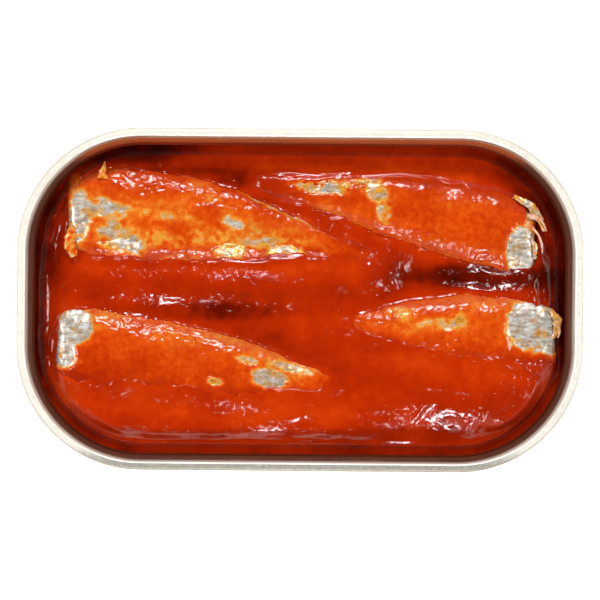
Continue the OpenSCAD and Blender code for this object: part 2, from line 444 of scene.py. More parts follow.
# %% Build shreds and threads
# Name, route as x, y, z in mm, width at each point in mm, and film of sauce on it in mm
SHREDS = [
    ("shred_back_left_spike", [(-39.2, 23.6, 20.2), (-39.0, 24.9, 20.4), (-38.7, 26.0, 20.5),
        (-38.6, 26.9, 20.4)],
     [2.4, 1.3, 0.7, 0.15], 0.36),
    ("shred_back_left_flap", [(-44.5, 14.2, 20.0), (-45.2, 12.6, 20.2), (-45.4, 10.4, 20.2),
        (-44.4, 8.2, 20.0)],
     [0.8, 2.2, 2.4, 1.4], 0.42),
    ("shred_back_right_top", [(42.0, 20.9, 19.5), (44.4, 19.5, 20.2), (46.2, 17.8, 20.4),
        (47.2, 16.0, 20.2), (48.0, 13.9, 19.6)],
     [0.7, 1.5, 1.6, 1.3, 0.5], 0.02),
    ("shred_back_right_lower", [(45.4, 12.6, 20.3), (46.2, 10.6, 20.3), (46.2, 8.4, 19.9)],
        [0.5, 1.1, 0.4], -0.2),
    ("shred_front_right", [(49.6, -1.6, 19.9), (50.6, -3.4, 20.3), (50.7, -5.4, 20.2), (49.8, -7.2, 19.8)],
     [0.8, 1.7, 1.5, 0.5], 0.12),
    ("shred_front_left", [(-46.9, -14.6, 19.6), (-45.6, -14.6, 20.0), (-43.8, -15.0, 20.1),
        (-42.2, -16.0, 20.0)],
     [0.8, 1.2, 0.9, 0.3], 0.22),
]
# Name, route, and radius at each point in mm
THREADS = [
    ("bone_back_right", [(44.6, 17.0, 19.9), (45.7, 16.7, 20.5), (46.6, 16.4, 20.6)], [0.55, 0.62, 0.5]),
    ("thread_back_right_a", [(45.6, 14.6, 20.3), (46.9, 13.0, 20.4), (47.5, 11.4, 20.0),
        (47.7, 9.6, 19.3)], [0.24, 0.22, 0.26, 0.2]),
    ("thread_back_right_b", [(46.5, 16.6, 20.4), (47.8, 15.4, 20.2), (48.4, 14.0, 19.6)], [0.2, 0.2, 0.16]),
    ("thread_front_right", [(50.6, -4.4, 20.0), (51.2, -5.8, 19.9), (50.8, -7.0, 19.6)], [0.2, 0.26, 0.2]),
]

SHRED_SHEET = 0.16 * MM    # thickness of torn skin
SHRED_RUMPLE = 0.16 * MM   # height of the creases in it


def on_route(route, share):
    """Point at a share from 0 to 1 of a route, in metres."""
    route = np.array(route, float)
    knots = np.linspace(0, 1, len(route))
    return np.stack([np.interp(share, knots, route[:, k]) for k in range(route.shape[1])], axis=-1) * MM


def smoothed(line):
    """Rounds off the bends of a line, keeping its ends."""
    for _ in range(12):
        line[1:-1] = (line[:-2] + 2 * line[1:-1] + line[2:]) / 4
    return line


def shred(name, route, widths, film):
    rows, columns = 40, 10
    bpy.ops.object.select_all(action="DESELECT")
    bpy.ops.mesh.primitive_grid_add(x_subdivisions=columns, y_subdivisions=rows, size=2)
    piece = bpy.context.object
    piece.name = name
    flat = get_points(piece)
    share, across = (flat[:, 1] + 1) / 2, flat[:, 0]
    line = smoothed(on_route(route, np.linspace(0, 1, rows + 1)))
    step = np.gradient(line, axis=0)
    sideways = np.cross(step, (0, 0, 1))
    sideways /= np.linalg.norm(sideways, axis=1)[:, None]
    row = np.clip(np.round(share * rows).astype(int), 0, rows)
    half = np.interp(share, np.linspace(0, 1, len(widths)), widths) / 2 * MM
    half *= 1 + 0.45 * relief(np.stack([share * 9, np.sign(across) * 3, share * 0], axis=1), 1.0, 3, 5.2)
    points = line[row] + sideways[row] * (across * half)[:, None]
    points[:, 2] += SHRED_RUMPLE * relief(points, 1.2 * MM, 2, 3.7) - 0.25 * half * across ** 2
    set_points(piece, points)
    apply_modifier(piece, "SOLIDIFY", thickness=SHRED_SHEET, offset=-1)
    points = get_points(piece)
    paint(piece, "film", film + 0.35 * relief(points, 0.8 * MM, 3, 1.9))
    paint(piece, "gold", np.clip(0.5 + relief(points, 0.9 * MM, 2, 6.1), 0, 1))
    return piece


def thread(name, route, radii):
    rings, sides = 24, 12
    bpy.ops.object.select_all(action="DESELECT")
    bpy.ops.mesh.primitive_cylinder_add(vertices=sides, radius=1, depth=2, end_fill_type="TRIFAN")
    piece = bpy.context.object
    piece.name = name
    select_edges(piece, lambda a, b: abs(a.z - b.z) > 1)
    bpy.ops.mesh.subdivide(number_cuts=rings - 1)
    bpy.ops.mesh.select_mode(type="VERT")
    close_edit()
    flat = get_points(piece)
    share = (flat[:, 2] + 1) / 2
    line = smoothed(on_route(route, np.linspace(0, 1, rings + 1)))
    step = np.gradient(line, axis=0)
    step /= np.linalg.norm(step, axis=1)[:, None]
    sideways = np.cross(step, (0, 0, 1))
    upward = np.cross(sideways, step)
    row = np.clip(np.round(share * rings).astype(int), 0, rings)
    radius = np.interp(share, np.linspace(0, 1, len(radii)), radii) * MM
    radius *= (1 - 0.35 * (np.abs(flat[:, 2]) > 0.99)) * (1 + 0.25 * relief(flat + 3, 0.4, 2))
    points = line[row] + sideways[row] * (flat[:, 0] * radius)[:,
        None] + upward[row] * (flat[:, 1] * radius)[:, None]
    set_points(piece, points)
    edit(piece)
    bpy.ops.mesh.normals_make_consistent(inside=False)
    close_edit()
    return piece


def select_edges(piece, wanted):
    """Opens a piece in edit mode with the edges selected whose two ends pass a test."""
    pick(piece)
    bpy.ops.object.mode_set(mode="EDIT")
    bpy.ops.mesh.select_mode(type="EDGE")
    bpy.ops.mesh.select_all(action="DESELECT")
    bpy.ops.object.mode_set(mode="OBJECT")
    corners = piece.data.vertices
    for line in piece.data.edges:
        line.select = wanted(corners[line.vertices[0]].co, corners[line.vertices[1]].co)
    bpy.ops.object.mode_set(mode="EDIT")


shreds = [shred(*entry) for entry in SHREDS]
threads = [thread(*entry) for entry in THREADS]
print(len(shreds), "shreds and", len(threads), "threads")

# %% [markdown]
# ## The sauce
# The sauce fills the tin round the fish. Its sides follow the tin, so they are a box
# whose corners and lower edges are bevelled. Its underside is that box's lowest face,
# inset in steps over the tin's raised panel and bead. Its top is a carpet: a fine
# grid whose points are raised and lowered, then pulled down to a block. The common
# part of box and carpet is the sauce, and the fish are cut out of it last.

# %% The box that the tin holds
BASE_ROUND = 2.1 * MM   # round between the tin's wall and its base, on the inside
ABOVE_SAUCE = 4 * MM    # how far the filling stands over the sauce before the carpet cuts it
# The base from that round inward, as steps in mm (inward, upward): standing ring, slope
# to the panel, panel, then the stiffening bead's slope, top and slope
BASE_STEPS = [(2.8, 0.0), (0.8, 0.8), (2.6, 0.0), (0.5, 0.5), (1.0, 0.0), (0.5, -0.5)]


def tin_filling():
    bpy.ops.object.select_all(action="DESELECT")
    size = SAUCE[1] - SAUCE[0]
    tall = size.z + ABOVE_SAUCE
    bpy.ops.mesh.primitive_cube_add(size=1, location=(0, 0, SAUCE[0].z + tall / 2))
    piece = bpy.context.object
    piece.name = "sauce_body"
    piece.scale = (size.x, size.y, tall)
    bpy.ops.object.transform_apply(location=True, rotation=True, scale=True)
    select_edges(piece, lambda a, b: abs(a.z - b.z) > tall / 2)
    bpy.ops.mesh.bevel(offset=INNER_CORNER, offset_type="OFFSET", segments=24, profile=0.5)
    close_edit()
    select_edges(piece, lambda a, b: max(a.z, b.z) < SAUCE[0].z + 0.01 * MM)
    bpy.ops.mesh.bevel(offset=BASE_ROUND, offset_type="OFFSET", segments=4, profile=0.5)
    bpy.ops.mesh.select_mode(type="FACE")
    bpy.ops.mesh.select_all(action="DESELECT")
    close_edit()
    lowest = min(piece.data.polygons, key=lambda face: face.center.z)
    lowest.select = True
    print("foot of the filling:", len(lowest.vertices), "corners, area", round(lowest.area / MM ** 2),
        "mm2")
    bpy.ops.object.mode_set(mode="EDIT")
    for inward, upward in BASE_STEPS:
        bpy.ops.mesh.inset(thickness=inward * MM, depth=-upward * MM, use_even_offset=True)
    bpy.ops.mesh.select_mode(type="VERT")
    close_edit()
    return piece


sauce = tin_filling()
print("filling", len(sauce.data.polygons), "faces")

# %% [markdown]
# The carpet needs to know how far each of its points is from the wall and from the
# fish. The first is a formula for a rounded rectangle. The second is measured: a ray
# from above finds the fish's back, and a nearest-point search finds how close the fish
# lies, even under the sauce.

# %% Distance to the wall and to the fish
def from_wall(points):
    """Distance in metres from the tin's inner wall, positive inside."""
    past = np.abs(points[:, :2]) - (np.array(INNER_HALF) - INNER_CORNER)
    outside = np.linalg.norm(np.maximum(past, 0), axis=1)
    inside = np.minimum(past.max(axis=1), 0)
    return INNER_CORNER - outside - inside


def tree_of(piece):
    vertices = [vertex.co.copy() for vertex in piece.data.vertices]
    return BVHTree.FromPolygons(vertices, [tuple(face.vertices) for face in piece.data.polygons])


TREES = [tree_of(piece) for piece in fish.values()]
DOWN = Vector((0, 0, -1))
BOXES = [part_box(node) for node in SARDINES]
EYE = 0.05   # a height well above the tin, from which the rays go down


def fish_height(points):
    """Height of the fish's back over the sauce level, how drowned it is, and 0 at its tail."""
    found = np.full(len(points), -LEVEL)
    lapped, fading = np.zeros(len(points)), np.ones(len(points))
    for node, tree, (low, high) in zip(SARDINES, TREES, BOXES):
        u, v, _ = fish_map(node, points)
        side, tail = drowned(node, u, v), 1 - ease(0.88, 1.0, u)
        near = (points[:, 0] > low.x) & (points[:, 0] < high.x)
        near &= (points[:, 1] > low.y - MM) & (points[:, 1] < high.y + MM)
        for k in np.flatnonzero(near):
            hit = tree.ray_cast(Vector((points[k, 0], points[k, 1], EYE)), DOWN)[0]
            if hit is not None and hit.z - LEVEL > found[k]:
                found[k], lapped[k], fading[k] = hit.z - LEVEL, side[k], tail[k]
    return found, lapped, fading


def fish_distance(points, reach, number):
    """Distance from each point to the skin of one of the fish, up to reach."""
    found = np.full(len(points), reach)
    low, high = BOXES[number]
    near = (points[:, 0] > low.x - reach) & (points[:, 0] < high.x + reach)
    near &= (points[:, 1] > low.y - reach) & (points[:, 1] < high.y + reach)
    for k in np.flatnonzero(near):
        gap = TREES[number].find_nearest(Vector(points[k]), reach)[3]
        if gap is not None:
            found[k] = min(found[k], gap)
    return found


# %% [markdown]
# The sauce is thick, so it keeps marks. It stands in a low shore a little way in from
# the wall, with a moat of thin oily juice outside. Broad swells lie against the fish,
# and narrow ridges run where the sauce was dragged when the tin was opened. Each ridge
# is a short line of points with a width and a height.

# %% Swells and ridges of the sauce
# x, y, half length, half width and height in mm
SWELLS = [
    (-26, -21, 26, 7.0, 1.45), (4, -22, 16, 7.0, 1.2), (30, -17, 20, 8.0, 2.1), (40, -21, 11, 6.0, 0.9),
    (-25, 2.8, 24, 4.2, 0.9), (12, 5, 12, 4.0, 0.7), (-8, 1, 14, 4.0, 0.5), (14, -10, 12, 6.0, 1.0),
    (-28, 1.5, 5.0, 2.6, 0.35), (10, 27, 22, 3.0, 0.25), (-20, 27, 12, 3.0, 0.3), (35, 4.6, 9, 2.0, -0.7),
    (19, 8, 3.0, 4.0, 0.7), (6, 15, 4.0, 2.6, 0.9),
]
# Points of each ridge, then its half width and its height, all in mm
RIDGES = [
    ([(-39.5, 25.9), (-34, 27.0), (-29, 26.7), (-18, 24.2), (-8, 21.6), (-4, 21.4), (0.2, 23.2),
        (9.8, 25.3),
      (20, 25.9), (30, 25.5), (37, 25.6), (42, 24.0)], 0.35, 0.14),
    ([(-45.4, 16.8), (-47.7, 15.2), (-49.0, 11.0), (-49.1, 7.3), (-48.6, 3.6)], 0.70, 0.42),
    ([(-48.9, 16.6), (-50.0, 9.0), (-50.6, 2.8), (-50.4, -4.6), (-50.9, -8.3), (-49.2, -17.0),
        (-46.4, -21.8)],
     0.95, 0.40),
    ([(-47.0, -4.2), (-49.2, -7.8), (-49.1, -11.5)], 0.50, 0.50),
    ([(46.2, 12.3), (47.3, 8.4), (45.9, 3.8), (43.9, 1.6), (40.5, 1.2), (34.8, 2.2)], 1.10, 0.58),
    ([(47.3, 11.4), (48.5, 4.6), (48.9, 0.6), (48.6, -1.6)], 0.90, 0.42),
    ([(45.9, 3.8), (46.9, 0.6), (46.4, -1.2)], 0.6, 0.50),
    ([(38.9, 2.0), (37.6, 4.6), (35.0, 6.0)], 0.4, 0.30),
    ([(5.4, 12.2), (6.2, 15.6), (9.0, 16.8), (12.0, 16.5)], 0.40, 0.30),
    ([(-36.0, -25.6), (-28, -26.2), (-19, -26.4), (-6, -26.2)], 1.60, 0.20),
    ([(-42.5, -21.0), (-39.0, -23.6), (-36.0, -25.4)], 0.70, 0.36),
    ([(-9.0, -27.2), (2, -28.1), (12, -28.2), (24, -28.0)], 0.35, 0.16),
    ([(22, -24.5), (24.5, -21.0), (27.0, -20.0)], 0.55, 0.35),
    ([(-2, -24.0), (1.0, -22.6), (4.0, -23.6)], 0.55, 0.35),
    ([(19.6, 9.5), (18.4, 5.5), (19.8, 1.8)], 0.50, 0.45),
    ([(14.0, 6.5), (15.2, 4.0), (18.0, 2.2)], 0.45, 0.35),
    ([(-34.5, 27.5), (-31.0, 27.9)], 0.35, 0.25),
    ([(20.0, -16.5), (27.0, -17.2), (33.0, -18.6), (38, -19.0)], 0.45, 0.22),
    ([(28.5, -4.9), (33.0, -4.0), (36.0, -4.3)], 0.40, 0.30),
]
SHORE = 3.1 * MM
SHORE_RIDGE = 0.22 * MM
MOAT = 0.55 * MM


def line_distance(points, route):
    """Distance in mm from each point to a line through the route, and the share along it."""
    flat = points[:, :2] / MM
    best = np.full(len(points), 1e9)
    along = np.zeros(len(points))
    for k, (start, end) in enumerate(zip(route, route[1:])):
        start, end = np.array(start, float), np.array(end, float)
        step = end - start
        share = np.clip((flat - start) @ step / (step @ step), 0, 1)
        gap = np.linalg.norm(flat - start - share[:, None] * step, axis=1)
        along = np.where(gap < best, (k + share) / (len(route) - 1), along)
        best = np.minimum(best, gap)
    return best, along


def sauce_top(points):
    """Height of the sauce over its level at each point, before it meets the fish."""
    wall = from_wall(points)
    height = -MOAT * (1 - ease(1.5 * MM, SHORE + 0.5 * MM, wall))
    height += SHORE_RIDGE * np.exp(-((wall - SHORE - 0.3 * MM) / (0.45 * MM)) ** 2)
    height += 1.0 * MM * np.exp(-np.maximum(wall, 0) / (0.8 * MM))
    wander = points.copy()
    wander[:, :2] += 0.5 * MM * np.stack([relief(points, 5 * MM, 2, 3.3),
        relief(points, 5 * MM, 2, 7.7)], axis=1)
    swell = np.zeros(len(points))
    for x, y, half_length, half_width, rise in SWELLS:
        gap = np.hypot((wander[:, 0] / MM - x) / half_length, (wander[:, 1] / MM - y) / half_width)
        swell += rise * MM * ease(0, 1, 1.3 - gap)
    height += swell * ease(2.6 * MM, 5.5 * MM, wall)
    for route, half_width, rise in RIDGES:
        gap, along = line_distance(wander, route)
        fade = np.sin(np.pi * np.clip(along, 0.04, 0.96)) ** 0.5
        height += rise * MM * fade * np.exp(-(gap / half_width) ** 2)
    calm = ease(2.5 * MM, 5 * MM, wall)
    height += (0.16 * MM * relief(points, 6 * MM, 2, 5.5) + 0.03 * MM * relief(points, 1.5 * MM, 1,
        3.9)) * calm
    height += 0.10 * MM * speckled(points) * relief(points, 1.1 * MM, 2, 2.6) * calm
    return height


# %% [markdown]
# Where a fish comes near the surface, the sauce climbs a little against it, covers its
# shoulder with a thin coat and ends where the film on the fish begins. On its drowned
# side it laps far up, on the other side it stops short. Further in, the carpet dives
# under the fish's back, out of sight, so that the cut has clean edges.

# %% Lay the carpet
GRID = 0.26 * MM


def softened(field, passes):
    """Blurs a grid of heights by one cell on each pass."""
    for _ in range(passes):
        field = np.pad(field, 1, mode="edge")
        field = (field[:-2] + 2 * field[1:-1] + field[2:]) / 4
        field = (field[:, :-2] + 2 * field[:, 1:-1] + field[:, 2:]) / 4
    return field


def carpet():
    bpy.ops.object.select_all(action="DESELECT")
    span = 2 * (INNER_HALF + Vector((MM, MM)))
    cuts = [round(side / GRID) for side in span]
    bpy.ops.mesh.primitive_grid_add(x_subdivisions=cuts[0], y_subdivisions=cuts[1], size=1,
                                    location=(0, 0, LEVEL))
    piece = bpy.context.object
    piece.scale = (span.x, span.y, 1)
    bpy.ops.object.transform_apply(location=True, rotation=True, scale=True)
    piece.name = "sauce_top"
    points = get_points(piece)
    back, lapped, fading = fish_height(points)
    top = sauce_top(points)
    blend = (0.20 + 0.40 * lapped) * MM
    thin = 0.02 * MM
    edge = (0.25 + 0.80 * lapped + 0.35 * relief(points, 2.6 * MM, 2, 2.9) * (0.4 + lapped)) * MM
    lap = fading * np.minimum(blend * np.logaddexp(0, (back + thin - top) / blend), edge + 0.4 * MM)
    across = cuts[0] + 1
    lap = softened(lap.reshape(-1, across), 4).ravel()
    dive = ease(0, 1, (back - top - edge) / ((0.35 + 0.75 * lapped) * MM))
    points[:, 2] = LEVEL + top + lap - dive * (1.3 - 0.6 * lapped) * MM
    set_points(piece, points)
    edit(piece)
    bpy.ops.mesh.region_to_loop()
    bpy.ops.mesh.extrude_region_move(TRANSFORM_OT_translate={"value": (0, 0, -2 * LEVEL)})
    bpy.ops.transform.resize(value=(1, 1, 0), center_override=(0, 0, -LEVEL))
    bpy.ops.mesh.edge_face_add()
    bpy.ops.mesh.select_all(action="SELECT")
    bpy.ops.mesh.normals_make_consistent(inside=False)
    close_edit()
    return piece


top = carpet()
print("carpet", len(top.data.vertices), "points")

# %% [markdown]
# A boolean keeps the part of the tin's filling that lies under the carpet. Then each
# fish, drawn in by 0.4 mm, is cut away from it, so the sauce meets the skin without a gap
# and fish and sauce stay separate solids.

# %% Cut the sauce from box, carpet and fish
DRAWN_IN = 0.4 * MM   # the hollows are this much smaller than the fish, so no gap shows


def cut(piece, tool, operation):
    apply_modifier(piece, "BOOLEAN", operation=operation, object=tool, solver="MANIFOLD")
    bpy.data.objects.remove(tool)


cut(sauce, top, "INTERSECT")
for node in SARDINES:
    hollow = merged_copy(node, node + "_hollow")
    edit(hollow)
    bpy.ops.transform.shrink_fatten(value=-DRAWN_IN)
    close_edit()
    cut(sauce, hollow, "DIFFERENCE")
print("sauce", len(sauce.data.polygons), "faces")

# %% [markdown]
# The colour of tomato sauce depends on what lies below it. A thin coat over pale fish
# glows orange, an open pool is red, and the juice along the walls is almost black, partly
# as dark oily juice and partly as painted shade under the rim. So each point of the
# sauce stores how much it glows, less its painted shade: more near a fish, less near the
# wall and over deep pools and crevices, of which the largest lie at the two ends of the tin.

# %% Paint the glow and the painted shade of the sauce
# Deep pools and painted shade at crevices and walls: x, y, half length, half width in mm, and how dark
POOLS_AND_SHADE = [
    (-52, 18, 8, 14, 0.24), (-52, -14, 4, 15, 0.20), (53, 8, 7, 13, 0.24), (53, -8, 4, 9, 0.30),
    (-38, 30, 15, 3.2, 0.40), (46, 26, 8, 7, 0.22), (36, 5.0, 13, 2.4, 0.30), (-20, 24, 14, 2.0, 0.22),
    (2, 19, 10, 2.2, 0.12), (-22, -2.4, 18, 1.6, 0.14), (18, 5, 5, 4, 0.12), (8, -8, 16, 3.0, 0.08),
]
# How far the fish seem shifted to the sauce's glow, in mm: the sauce drowns them on one side
LEAN = {"sardine_back_left": 1.7, "sardine_back_right": -0.9, "sardine_front_left": 1.9,
    "sardine_front_right": 1.9}

GLOW_REACH = 9 * MM   # no fish further off than this shows through the sauce


def glow_and_shade_at(points):
    near = np.full(len(points), GLOW_REACH)
    for k, node in enumerate(SARDINES):
        shifted = points + (0, LEAN[node] * MM, -0.4 * MM)
        near = np.minimum(near, fish_distance(shifted, GLOW_REACH, k))
    value = 0.40 + 0.20 * np.exp(-(near / (2.6 * MM)) ** 1.2)
    ends = ease(30 * MM, 46 * MM, np.abs(points[:, 0]))
    # Painted shade: the sauce is darker along the wall, most at the two ends of the tin.
    value -= (0.04 + 0.08 * ends) * (1 - ease(0.5 * MM, 3.6 * MM, from_wall(points)))
    # Deep pools are darker, and the same spots paint shade into crevices and along the walls.
    for x, y, half_length, half_width, dark in POOLS_AND_SHADE:
        gap = np.hypot((points[:, 0] / MM - x) / half_length, (points[:, 1] / MM - y) / half_width)
        value -= dark * ease(0, 1, 1.6 - gap)
    value += 0.09 * relief(points, 8 * MM, 3, 1.1) + 0.05 * relief(points, 1.6 * MM, 2, 4.1)
    return np.clip(value, 0, 1)


glow = glow_and_shade_at(get_points(sauce))
paint(sauce, "glow", glow)
print("glow from", round(float(glow.min()), 2), "to", round(float(glow.max()), 2))

# %% [markdown]
# ## Finishes
# Tomato sauce is a wet, oily purée. Its colour is all in its body and its top is as
# smooth as oil, so the shader is a plain dielectric with the IOR of oil, 1.47, very low
# roughness, and a fine bump from the tomato's pulp.

# %% Tomato sauce
OIL_IOR = 1.47


def tomato_sauce():
    material, tree = new_material("tomato_sauce")
    place = add(tree, "TexCoord").outputs["Object"]
    glow = add(tree, "Attribute", {"attribute_name": "glow"}).outputs["Fac"]
    cloud = add(tree, "TexNoise", inputs={"Vector": place, "Scale": 1 / (5 * MM), "Detail": 5.0,
        "Roughness": 0.6})
    shade = add(tree, "Math", {"operation": "MULTIPLY_ADD"},
                {0: cloud.outputs["Fac"], 1: 0.22,
                    2: add(tree, "Math", {"operation": "SUBTRACT"}, {0: glow, 1: 0.11}).outputs[0]})
    colour = add(tree, "ValToRGB", {"stops": [
        (0.0, "340500"), (0.20, "650f01"), (0.38, "9a2001"), (0.52, "ae2802"), (0.70, "c63a05"),
            (1.0, "dc5208")]}, {"Fac": shade.outputs[0]}).outputs["Color"]
    pulp = add(tree, "TexNoise", inputs={"Vector": place, "Scale": 1 / (0.8 * MM), "Detail": 3.0,
        "Roughness": 0.55})
    grains = add(tree, "MapRange", {"interpolation_type": "SMOOTHSTEP"},
                 {"Value": pulp.outputs["Fac"], "From Min": 0.50, "From Max": 0.78})
    bump = add(tree, "Bump", inputs={"Height": grains.outputs["Result"], "Strength": 0.35,
        "Distance": 0.12 * MM})
    surface = add(tree, "BsdfPrincipled", inputs={
        "Base Color": colour, "Roughness": 0.09, "IOR": OIL_IOR, "Specular IOR Level": 0.45,
        "Normal": bump.outputs["Normal"]})
    add(tree, "OutputMaterial", inputs={"Surface": surface.outputs["BSDF"]})
    return material


# %% [markdown]
# A sardine's skin is silver: thin plates of guanine under a clear wet layer, which
# reflect like brushed foil. Sauce covers most of it. The film attribute is the mask:
# bare skin below 0, oily gold where the film is a breath thick, and opaque orange
# where it is thicker.

# %% Sardine skin under a film of sauce
def sardine_skin(name):
    material, tree = new_material(name)
    place = add(tree, "TexCoord").outputs["Object"]
    film = add(tree, "Attribute", {"attribute_name": "film"}).outputs["Fac"]
    gold = add(tree, "Attribute", {"attribute_name": "gold"}).outputs["Fac"]
    fray = add(tree, "TexNoise", inputs={"Vector": place, "Scale": 1 / (1.1 * MM), "Detail": 5.0,
        "Roughness": 0.65})
    frayed = add(tree, "Math", {"operation": "MULTIPLY_ADD"}, {0: fray.outputs["Fac"], 1: 0.90, 2: film})
    cover = add(tree, "MapRange", {"interpolation_type": "SMOOTHSTEP"},
                {"Value": frayed.outputs[0], "From Min": 0.38, "From Max": 0.78})
    thick = add(tree, "MapRange", {"interpolation_type": "SMOOTHSTEP"},
                {"Value": frayed.outputs[0], "From Min": 0.58, "From Max": 1.93})

    stretch = add(tree, "Mapping", inputs={"Vector": place, "Scale": (1.0, 3.0, 1.0)})
    scales = add(tree, "TexNoise", inputs={"Vector": stretch.outputs["Vector"], "Scale": 1 / (2.2 * MM),
        "Detail": 6.0, "Roughness": 0.7})
    silver = add(tree, "ValToRGB", {"stops": [
        (0.32, "7a6c5c"), (0.42, "a8a092"), (0.49, "c2beb6"), (0.56, "d9d6d0"), (0.66, "f1ede4")]},
            {"Fac": scales.outputs["Fac"]}).outputs["Color"]
    stain = add(tree, "TexNoise", inputs={
        "Vector": place, "Scale": 1 / (1.6 * MM), "Detail": 6.0, "Roughness": 0.72, "Distortion": 1.2})
    stained = add(tree, "MapRange", {"interpolation_type": "SMOOTHSTEP"}, {
        "Value": stain.outputs["Fac"], "From Min": 0.47, "From Max": 0.62, "To Max": 0.80})
    silver = add(tree, "Mix", {"data_type": "RGBA"}, {
        0: stained.outputs["Result"], 6: silver, 7: linear("c08a3c")}).outputs[2]
    oil = add(tree, "ValToRGB", {"stops": [(0.32, "b0621c"), (0.47, "d98c1a"), (0.66, "efb22a")]},
        {"Fac": fray.outputs["Fac"]}).outputs["Color"]
    skin = add(tree, "Mix", {"data_type": "RGBA"}, {0: gold, 6: silver, 7: oil})
    cloud = add(tree, "TexNoise", inputs={"Vector": place, "Scale": 1 / (6 * MM), "Detail": 4.0,
        "Roughness": 0.6})
    orange = add(tree, "ValToRGB", {"stops": [
        (0.0, "e0a23c"), (0.10, "dc7420"), (0.30, "d4500c"), (0.58, "c43c04"), (1.0, "a82803")]},
            {"Fac": thick.outputs["Result"]}).outputs["Color"]
    red = add(tree, "Mix", {"data_type": "RGBA", "blend_type": "MULTIPLY"},
              {0: 0.5, 6: orange, 7: add(tree, "ValToRGB",
                  {"stops": [(0.3, "d8a890"), (0.65, "ffffff")]},
                      {"Fac": cloud.outputs["Fac"]}).outputs["Color"]})
    colour = add(tree, "Mix", {"data_type": "RGBA"},
        {0: cover.outputs["Result"], 6: skin.outputs[2], 7: red.outputs[2]})

    metal = add(tree, "MapRange", {}, {"Value": cover.outputs["Result"], "To Min": 0.40, "To Max": 0.0})
    rough = add(tree, "MapRange", {}, {"Value": cover.outputs["Result"], "To Min": 0.34, "To Max": 0.16})
    pulp = add(tree, "TexNoise", inputs={"Vector": place, "Scale": 1 / (0.7 * MM), "Detail": 3.0,
        "Roughness": 0.6})
    bump = add(tree, "Bump", inputs={"Height": pulp.outputs["Fac"], "Strength": 0.35,
        "Distance": 0.08 * MM})
    surface = add(tree, "BsdfPrincipled", inputs={
        "Base Color": colour.outputs[2], "Metallic": metal.outputs["Result"],
            "Roughness": rough.outputs["Result"],
        "IOR": OIL_IOR, "Specular IOR Level": 0.4, "Normal": bump.outputs["Normal"]})
    add(tree, "OutputMaterial", inputs={"Surface": surface.outputs["BSDF"]})
    return material


# %% [markdown]
# The tin is tinplate: steel with a thin coat of tin. Drawing it to a cup leaves faint
# upright lines on its wall, so its noise is drawn out along Z.

# %% Tinplate
def tinplate():
    material, tree = new_material("drawn_tinplate")
    place = add(tree, "TexCoord").outputs["Object"]
    lines = add(tree, "Mapping", inputs={"Vector": place, "Scale": (1.0, 1.0, 0.04)})
    drawn = add(tree, "TexNoise", inputs={"Vector": lines.outputs["Vector"], "Scale": 1 / (0.6 * MM),
        "Detail": 4.0})
    colour = add(tree, "ValToRGB", {"stops": [(0.3, "aaa89f"), (0.7, "b8b6ad")]},
        {"Fac": drawn.outputs["Fac"]}).outputs["Color"]
    rough = add(tree, "MapRange", {}, {"Value": drawn.outputs["Fac"], "To Min": 0.25, "To Max": 0.31})
    bump = add(tree, "Bump", inputs={"Height": drawn.outputs["Fac"], "Strength": 0.04,
        "Distance": 0.03 * MM})
    surface = add(tree, "BsdfPrincipled", inputs={
        "Base Color": colour, "Metallic": 1.0, "Roughness": rough.outputs["Result"],
            "Normal": bump.outputs["Normal"]})
    add(tree, "OutputMaterial", inputs={"Surface": surface.outputs["BSDF"]})
    return material


# %% [markdown]
# The ring of the lid is the same sheet with a clear lacquer, so its rolled top looks a
# warm satin white, with painted shade where it rolls over at its outer edge and a
# painted dark reflection, grey with rub marks, at the front. Its inner wall is pale at
# the top, then shows painted shade and a painted reflection of the sauce, brown, turning
# red-brown where the lip is wet; at the back it is painted lighter, tan, as if lit. How
# far in a point lies is worked out from the outline, which is a rectangle with round
# corners.

# %% Lacquered seam
BAND = (1.64 * MM, 1.76 * MM)   # where the seam's flat top gives way to its inner wall
LIP = 20.8 * MM                 # height of the torn lip at the wall's foot


